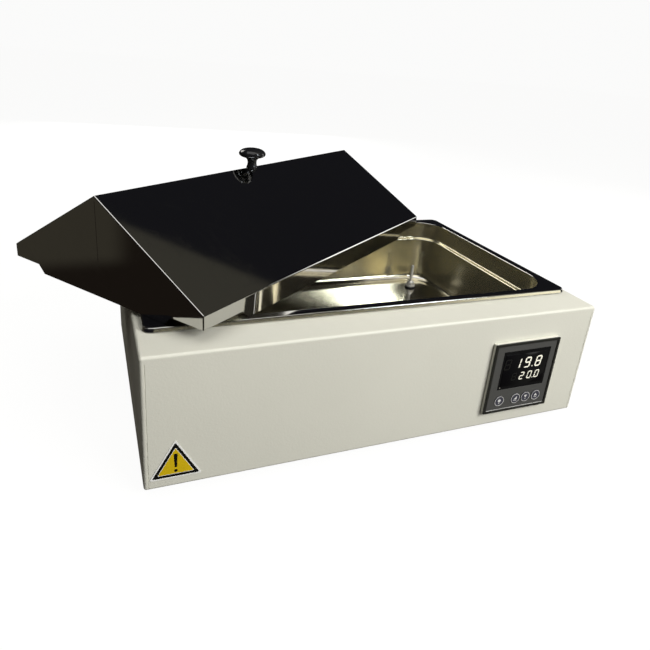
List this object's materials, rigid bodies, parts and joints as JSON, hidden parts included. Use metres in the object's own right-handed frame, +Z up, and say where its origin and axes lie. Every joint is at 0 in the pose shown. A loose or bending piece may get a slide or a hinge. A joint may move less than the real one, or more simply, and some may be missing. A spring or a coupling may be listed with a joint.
{
  "type": "laboratory water bath",
  "caption": "Bench-top electric water bath: sheet-metal casing, drawn steel tank, panel controller with keys and display, and a loose gabled lid lying askew on the tank.",
  "frame": {"origin": "centre of the bounding box in plan, on the plane of the feet", "axes": "+X to the right along the front panel, +Y from the front panel towards the rear panel, +Z up"},
  "size_m": [0.6602, 0.5507, 0.3011],
  "materials": {
    "casing_paint": "cream-white powder coat, fine orange peel",
    "tank_steel": "bright satin, deep drawn",
    "lid_steel": "mirror polished",
    "probe_steel": "polished",
    "knob_black": "glossy moulded phenolic",
    "frame_black": "fine satin moulding",
    "keypad_grey": "printed film",
    "window_black": "tinted acrylic",
    "digit_cream": "lit segments",
    "led_amber": "small indicator lens",
    "key_grey": "soft-touch key",
    "rubber_black": "moulded",
    "silicone_red": "moulded heater mat",
    "zinc_steel": "zinc plated",
    "aluminium": "extruded",
    "glass_wool": "fibrous mat",
    "board_green": "coated circuit board",
    "moulding_cream": "moulded",
    "moulding_brown": "moulded",
    "switch_black": "moulded",
    "lead_grey": "sheathed",
    "lead_black": "sheathed",
    "brass": "plain",
    "label_yellow": "printed film"
  },
  "bodies": {
    "bath": {"base_plate": "zinc_steel", "base_screw_1": "zinc_steel", "base_screw_2": "zinc_steel", "base_screw_3": "zinc_steel", "base_screw_4": "zinc_steel", "casing_shell": "casing_paint", "controller_bezel": "casing_paint", "controller_board": "board_green", "controller_frame": "frame_black", "controller_housing": "frame_black", "display_digits": "digit_cream", "display_module": "window_black", "display_window": "window_black", "earth_stud": "brass", "foot_1": "rubber_black", "foot_2": "rubber_black", "foot_3": "rubber_black", "foot_4": "rubber_black", "fuse_holder": "switch_black", "heater_lead": "lead_grey", "heating_pad": "silicone_red", "insulation_floor": "glass_wool", "insulation_sides": "glass_wool", "keypad_overlay": "keypad_grey", "mains_lead": "lead_black", "overheat_cutout": "moulding_brown", "power_inlet": "switch_black", "probe_gland_nut": "probe_steel", "probe_lead": "lead_grey", "probe_lock_nut": "zinc_steel", "probe_rod": "probe_steel", "probe_seal": "rubber_black", "rear_panel": "casing_paint", "rear_screw_1": "zinc_steel", "rear_screw_2": "zinc_steel", "rear_screw_3": "zinc_steel", "rear_screw_4": "zinc_steel", "relay_heat_sink": "aluminium", "solid_state_relay": "moulding_cream", "status_led": "led_amber", "switch_frame": "switch_black", "tank": "tank_steel", "tank_gasket": "rubber_black", "tank_rail_front": "zinc_steel", "tank_rail_rear": "zinc_steel", "terminal_block": "moulding_cream", "warning_label": "label_yellow"},
    "key_set": {"button_set": "key_grey"},
    "key_shift": {"button_shift": "key_grey"},
    "key_down": {"button_down": "key_grey"},
    "key_up": {"button_up": "key_grey"},
    "rocker": {"switch_rocker": "switch_black"},
    "lid": {"lid_shell": "lid_steel", "lid_knob": "knob_black", "knob_screw": "zinc_steel", "knob_washer": "zinc_steel"}
  },
  "joints": [
    {"name": "set_press", "type": "slide", "parent": "bath", "child": "key_set", "axis": [0, 1, 0], "range_m": [0, 0.0006], "stiffness_N_per_m": 2000},
    {"name": "shift_press", "type": "slide", "parent": "bath", "child": "key_shift", "axis": [0, 1, 0], "range_m": [0, 0.0006], "stiffness_N_per_m": 2000},
    {"name": "down_press", "type": "slide", "parent": "bath", "child": "key_down", "axis": [0, 1, 0], "range_m": [0, 0.0006], "stiffness_N_per_m": 2000},
    {"name": "up_press", "type": "slide", "parent": "bath", "child": "key_up", "axis": [0, 1, 0], "range_m": [0, 0.0006], "stiffness_N_per_m": 2000},
    {"name": "rocker_tilt", "type": "hinge", "parent": "bath", "child": "rocker", "pos_m": [0.19758, 0.10575, 0.0368], "axis": [1, 0, 0], "range_deg": [-20, 0]},
    {"name": "lid_lift", "type": "slide", "parent": "bath", "child": "lid", "axis": [0, 0, 1], "range_m": [0, 0.25]}
  ]
}
